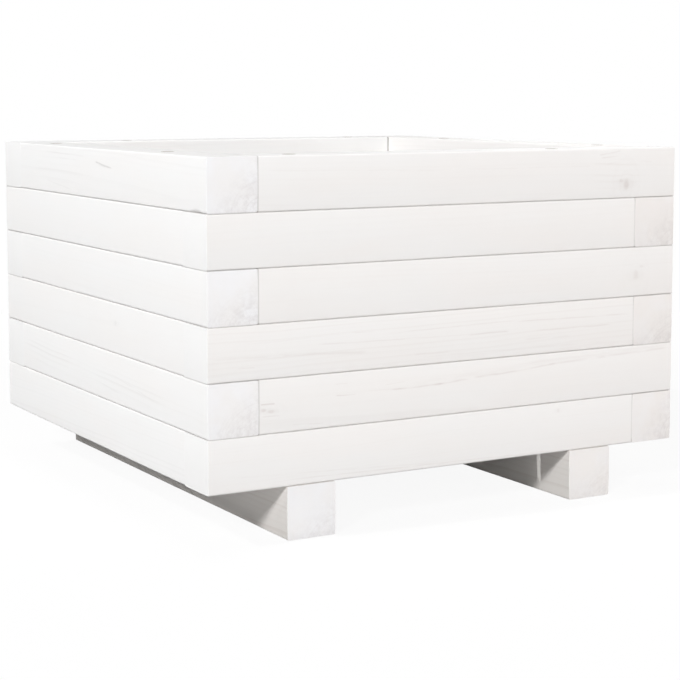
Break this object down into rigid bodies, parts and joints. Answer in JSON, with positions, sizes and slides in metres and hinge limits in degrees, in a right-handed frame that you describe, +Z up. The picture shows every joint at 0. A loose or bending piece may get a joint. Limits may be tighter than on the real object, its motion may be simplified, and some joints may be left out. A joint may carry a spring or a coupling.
{
  "type": "planter",
  "caption": "Square planter of white-painted battens stacked in courses that lap the corners by turns, with a slatted draining floor on runner feet.",
  "frame": {"origin": "middle of the footprint, at floor level under the feet", "axes": "+Z up, the front wall looks towards -Y, +X to the right seen from the front; the feet run along Y"},
  "size_m": [0.4, 0.4, 0.266],
  "materials": {
    "wall_batten": "planed softwood under a thin white paint, with faint warm grain and knots showing through",
    "foot": "planed softwood under a thin white paint",
    "floor_slat": "planed softwood slat under a thin white paint",
    "screw": "zinc-plated countersunk wood screw",
    "dowel": "plain unfinished hardwood"
  },
  "bodies": {
    "root": {"course_1_front_batten": "wall_batten", "course_1_right_batten": "wall_batten", "course_1_back_batten": "wall_batten", "course_1_left_batten": "wall_batten", "course_2_front_batten": "wall_batten", "course_2_right_batten": "wall_batten", "course_2_back_batten": "wall_batten", "course_2_left_batten": "wall_batten", "course_3_front_batten": "wall_batten", "course_3_right_batten": "wall_batten", "course_3_back_batten": "wall_batten", "course_3_left_batten": "wall_batten", "course_4_front_batten": "wall_batten", "course_4_right_batten": "wall_batten", "course_4_back_batten": "wall_batten", "course_4_left_batten": "wall_batten", "course_5_front_batten": "wall_batten", "course_5_right_batten": "wall_batten", "course_5_back_batten": "wall_batten", "course_5_left_batten": "wall_batten", "course_6_front_batten": "wall_batten", "course_6_right_batten": "wall_batten", "course_6_back_batten": "wall_batten", "course_6_left_batten": "wall_batten", "course_1_screws": "screw", "course_2_screws": "screw", "course_3_screws": "screw", "course_4_screws": "screw", "course_5_screws": "screw", "course_1_corner_dowels": "dowel", "course_2_corner_dowels": "dowel", "course_3_corner_dowels": "dowel", "course_4_corner_dowels": "dowel", "course_5_corner_dowels": "dowel", "left_foot": "foot", "right_foot": "foot", "foot_screws": "screw", "floor_slat_1": "floor_slat", "floor_slat_2": "floor_slat", "floor_slat_3": "floor_slat", "floor_slat_4": "floor_slat", "floor_slat_screws": "screw"}
  },
  "joints": []
}
